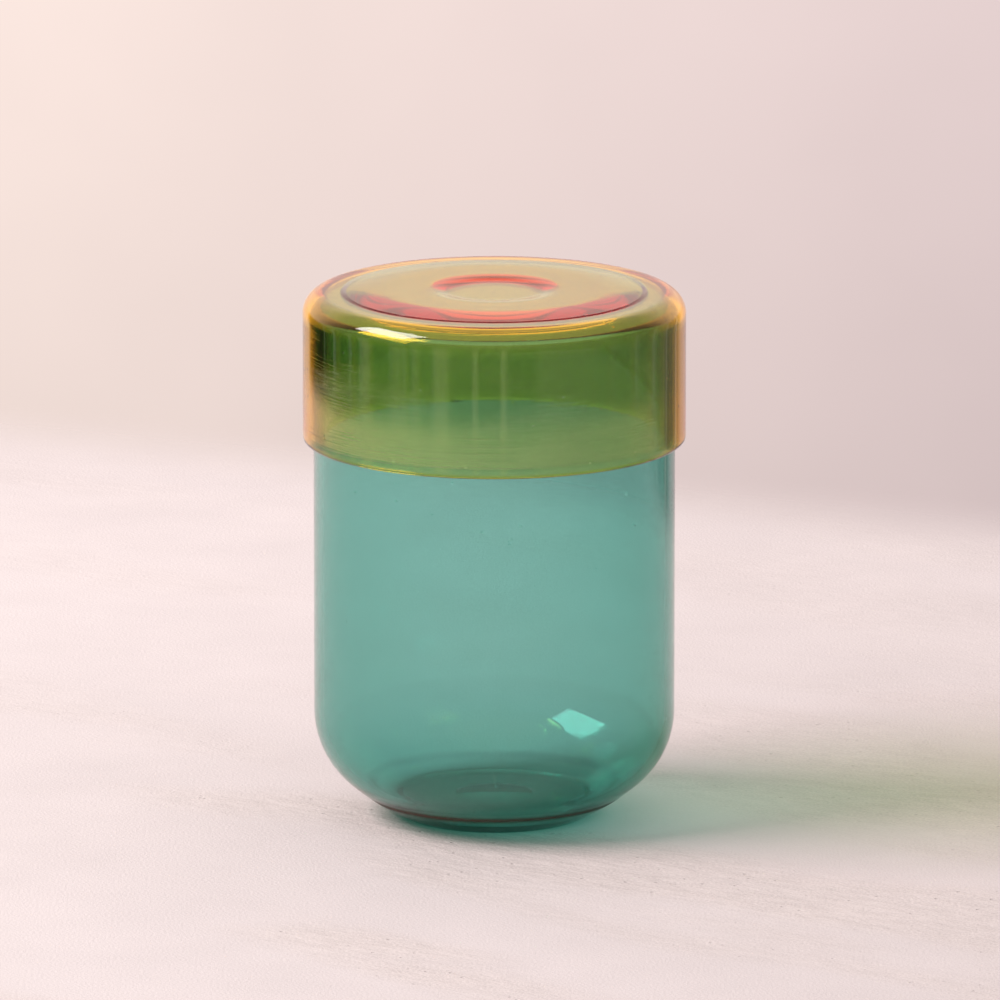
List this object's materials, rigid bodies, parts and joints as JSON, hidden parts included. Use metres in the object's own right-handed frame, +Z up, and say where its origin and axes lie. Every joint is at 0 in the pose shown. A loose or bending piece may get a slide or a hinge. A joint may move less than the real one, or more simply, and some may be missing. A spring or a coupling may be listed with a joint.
{
  "type": "apothecary jar",
  "caption": "Straight-sided coloured glass jar with a rounded bottom and a deep, flat-topped glass cap lid that slips over its mouth, for keeping dry goods, herbs or cotton wool.",
  "frame": {"origin": "centre of the foot, on the surface that the jar stands on", "axes": "+Z up along the axis of the jar and the lid; the shape is round, so +X and +Y are any two level directions"},
  "size_m": [0.09, 0.09, 0.1261],
  "materials": {
    "jar_glass": "clear teal glass, fire-polished",
    "lid_glass": "clear amber glass, fire-polished"
  },
  "bodies": {
    "jar": {"jar": "jar_glass"},
    "lid": {"lid": "lid_glass"}
  },
  "joints": [
    {"name": "lid_lift", "type": "slide", "parent": "jar", "child": "lid", "axis": [0, 0, 1], "range_m": [0, 0.06]}
  ]
}
